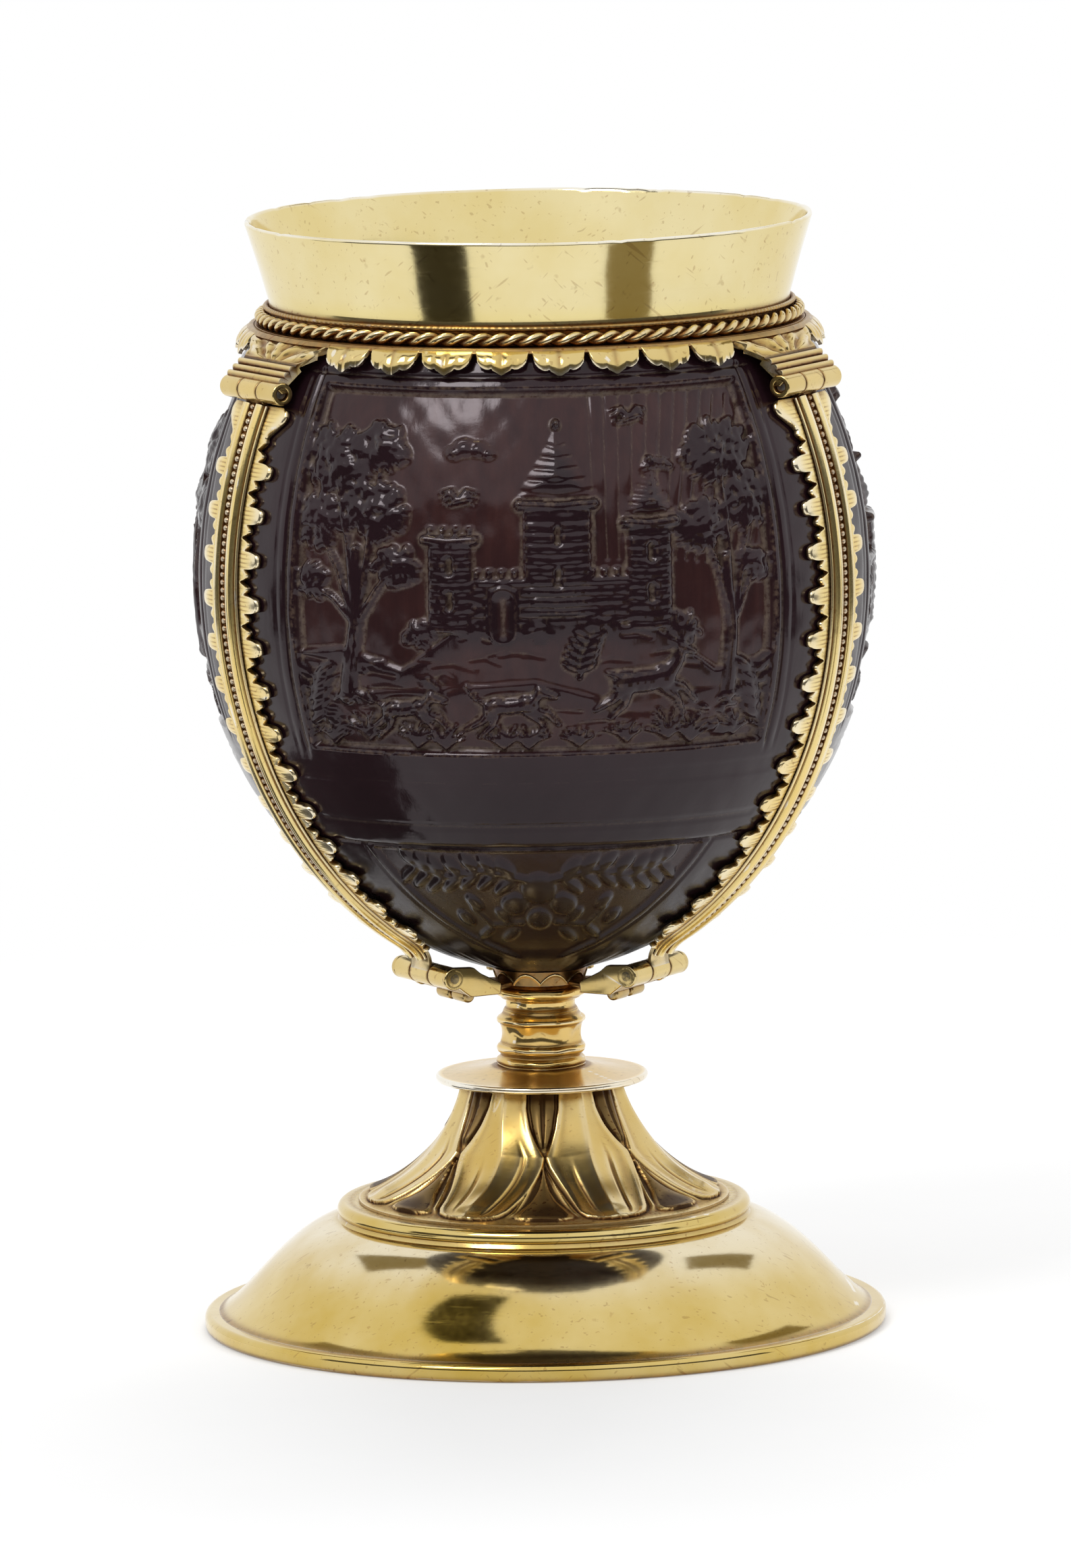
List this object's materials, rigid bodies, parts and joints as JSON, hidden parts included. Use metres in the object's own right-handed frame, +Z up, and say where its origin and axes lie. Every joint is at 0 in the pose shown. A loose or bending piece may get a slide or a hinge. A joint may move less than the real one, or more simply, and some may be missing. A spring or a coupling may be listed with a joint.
{
  "type": "mounted coconut cup",
  "caption": "Standing cup: a carved coconut shell held in a gilt mount by hinged straps between a flared lip and a domed foot.",
  "frame": {"origin": "centre of the foot rim's flat underside", "axes": "+Z up along the stem to the lip, -Y towards the front between the two front straps, +X to the right"},
  "size_m": [0.1011, 0.1034, 0.165],
  "materials": {
    "gilt": "polished silver-gilt, worn",
    "shell": "carved and waxed coconut shell",
    "steel": "bare pin ends"
  },
  "bodies": {
    "base": {"foot_rim": "gilt", "foot_dome": "gilt", "leaf_trumpet": "gilt", "throat_plate": "gilt", "trumpet_leaves": "gilt", "collar_disc": "gilt", "stem_spool": "gilt", "calyx_socket": "gilt", "calyx_dish": "gilt", "lower_hinge_left": "gilt", "lower_hinge_right": "gilt", "lower_hinge_back": "gilt", "lower_hinge_pins": "steel", "tie_bolt": "steel", "tie_nut": "steel", "tie_washer": "steel", "coconut_shell": "shell"},
    "lip": {"lip_band": "gilt", "lip_seat": "gilt", "rope_wire": "gilt", "rope_fillet": "gilt", "leaf_skirt": "gilt", "bracket_left": "gilt", "bracket_right": "gilt", "bracket_back": "gilt", "upper_pin_ends": "steel"},
    "strap_left": {"strap_left_band": "gilt", "strap_left_rib": "gilt", "strap_left_beading": "gilt", "strap_left_pin_core": "steel"},
    "strap_right": {"strap_right_band": "gilt", "strap_right_rib": "gilt", "strap_right_beading": "gilt", "strap_right_pin_core": "steel"},
    "strap_back": {"strap_back_band": "gilt", "strap_back_rib": "gilt", "strap_back_beading": "gilt", "strap_back_pin_core": "steel"}
  },
  "joints": [
    {"name": "lip_lift", "type": "slide", "parent": "base", "child": "lip", "axis": [0, 0, 1], "range_m": [0, 0.04]},
    {"name": "strap_left_swing", "type": "hinge", "parent": "base", "child": "strap_left", "pos_m": [-0.01654, -0.00955, 0.05414], "axis": [0.5, -0.866, 0], "range_deg": [0, 100]},
    {"name": "strap_right_swing", "type": "hinge", "parent": "base", "child": "strap_right", "pos_m": [0.01654, -0.00955, 0.05414], "axis": [0.5, 0.866, 0], "range_deg": [0, 100]},
    {"name": "strap_back_swing", "type": "hinge", "parent": "base", "child": "strap_back", "pos_m": [0, 0.0191, 0.05414], "axis": [-1, 0, 0], "range_deg": [0, 100]}
  ]
}
